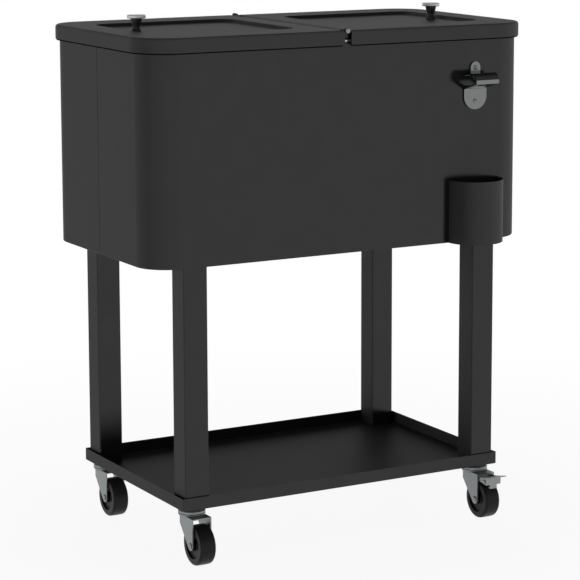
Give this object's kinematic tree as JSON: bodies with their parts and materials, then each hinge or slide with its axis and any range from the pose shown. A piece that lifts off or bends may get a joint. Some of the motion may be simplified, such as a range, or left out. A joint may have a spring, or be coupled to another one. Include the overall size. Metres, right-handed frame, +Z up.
{
  "type": "rolling patio cooler",
  "caption": "Insulated steel patio cooler on legs with casters: a tub with hinged lids and knobs, a shelf tray, a bottle opener and a cap catcher.",
  "frame": {"origin": "on the ground, at the middle of the whole cooler's width and depth", "axes": "+Z up, the front with the bottle opener faces -Y, +X to the right seen from the front"},
  "size_m": [0.73, 0.4466, 0.8846],
  "materials": {
    "coat": "fine textured powder coat, black",
    "steel": "satin",
    "chrome": "polished",
    "zinc": "zinc plated",
    "liner": "smooth, light grey",
    "foam": "closed-cell foam",
    "plastic": "black, satin",
    "wheel": "hard tread, dark grey"
  },
  "bodies": {
    "cooler": {"front_shell": "coat", "back_shell": "coat", "base_panel": "coat", "insulation": "foam", "inner_liner": "liner", "drain_spout": "plastic", "drain_nut": "plastic", "centre_bar": "steel", "front_hinge_pin": "steel", "back_hinge_pin": "steel", "bottle_opener": "zinc", "opener_upper_screw": "zinc", "opener_lower_screw": "zinc", "catcher_left_screw": "zinc", "catcher_right_screw": "zinc", "shelf_tray": "coat", "front_left_leg": "coat", "front_right_leg": "coat", "back_left_leg": "coat", "back_right_leg": "coat", "front_left_caster_mount": "zinc", "front_right_caster_mount": "zinc", "back_left_caster_mount": "zinc", "back_right_caster_mount": "zinc"},
    "left_lid": {"left_lid_shell": "coat", "left_lid_core": "foam", "left_lid_panel": "liner", "left_knob_stem": "plastic", "left_knob_cap": "chrome", "left_knob_screw": "zinc", "left_front_hinge_leaf": "steel", "left_back_hinge_leaf": "steel"},
    "right_lid": {"right_lid_shell": "coat", "right_lid_core": "foam", "right_lid_panel": "liner", "right_knob_stem": "plastic", "right_knob_cap": "chrome", "right_knob_screw": "zinc", "right_front_hinge_leaf": "steel", "right_back_hinge_leaf": "steel"},
    "catcher": {"cap_catcher": "coat"},
    "cap": {"drain_cap": "plastic"},
    "front_left_swivel": {"front_left_caster_fork": "zinc", "front_left_caster_axle": "zinc"},
    "front_right_swivel": {"front_right_caster_fork": "zinc", "front_right_caster_axle": "zinc", "front_right_brake_pin": "zinc"},
    "back_left_swivel": {"back_left_caster_fork": "zinc", "back_left_caster_axle": "zinc"},
    "back_right_swivel": {"back_right_caster_fork": "zinc", "back_right_caster_axle": "zinc", "back_right_brake_pin": "zinc"},
    "front_left_wheel": {"front_left_caster_wheel": "wheel"},
    "front_right_wheel": {"front_right_caster_wheel": "wheel"},
    "back_left_wheel": {"back_left_caster_wheel": "wheel"},
    "back_right_wheel": {"back_right_caster_wheel": "wheel"},
    "front_right_brake": {"front_right_brake_pedal": "zinc"},
    "back_right_brake": {"back_right_brake_pedal": "zinc"}
  },
  "joints": [
    {"name": "left_lid_hinge", "type": "hinge", "parent": "cooler", "child": "left_lid", "pos_m": [0, 0.0223, 0.86], "axis": [0, 1, 0], "range_deg": [0, 80]},
    {"name": "right_lid_hinge", "type": "hinge", "parent": "cooler", "child": "right_lid", "pos_m": [0, 0.0223, 0.86], "axis": [0, -1, 0], "range_deg": [0, 80]},
    {"name": "catcher_lift", "type": "slide", "parent": "cooler", "child": "catcher", "axis": [0, 0, 1], "range_m": [0, 0.008]},
    {"name": "drain_cap_turn", "type": "hinge", "parent": "cooler", "child": "cap", "pos_m": [0.225, 0.1123, 0.47], "axis": [0, 0, 1], "range_deg": [0, 360]},
    {"name": "front_left_swivel_turn", "type": "hinge", "parent": "cooler", "child": "front_left_swivel", "pos_m": [-0.2765, -0.1442, 0.0782], "axis": [0, 0, 1], "continuous": true},
    {"name": "front_right_swivel_turn", "type": "hinge", "parent": "cooler", "child": "front_right_swivel", "pos_m": [0.2765, -0.1442, 0.0782], "axis": [0, 0, 1], "continuous": true},
    {"name": "back_left_swivel_turn", "type": "hinge", "parent": "cooler", "child": "back_left_swivel", "pos_m": [-0.2765, 0.1888, 0.0782], "axis": [0, 0, 1], "continuous": true},
    {"name": "back_right_swivel_turn", "type": "hinge", "parent": "cooler", "child": "back_right_swivel", "pos_m": [0.2765, 0.1888, 0.0782], "axis": [0, 0, 1], "continuous": true},
    {"name": "front_left_wheel_spin", "type": "hinge", "parent": "front_left_swivel", "child": "front_left_wheel", "pos_m": [-0.2765, -0.1722, 0.0335], "axis": [1, 0, 0], "continuous": true},
    {"name": "front_right_wheel_spin", "type": "hinge", "parent": "front_right_swivel", "child": "front_right_wheel", "pos_m": [0.2765, -0.1722, 0.0335], "axis": [1, 0, 0], "continuous": true},
    {"name": "back_left_wheel_spin", "type": "hinge", "parent": "back_left_swivel", "child": "back_left_wheel", "pos_m": [-0.2765, 0.1608, 0.0335], "axis": [1, 0, 0], "continuous": true},
    {"name": "back_right_wheel_spin", "type": "hinge", "parent": "back_right_swivel", "child": "back_right_wheel", "pos_m": [0.2765, 0.1608, 0.0335], "axis": [1, 0, 0], "continuous": true},
    {"name": "front_right_brake_press", "type": "hinge", "parent": "front_right_swivel", "child": "front_right_brake", "pos_m": [0.2765, -0.1982, 0.0703], "axis": [1, 0, 0], "range_deg": [0, 12]},
    {"name": "back_right_brake_press", "type": "hinge", "parent": "back_right_swivel", "child": "back_right_brake", "pos_m": [0.2765, 0.1348, 0.0703], "axis": [1, 0, 0], "range_deg": [0, 12]}
  ]
}
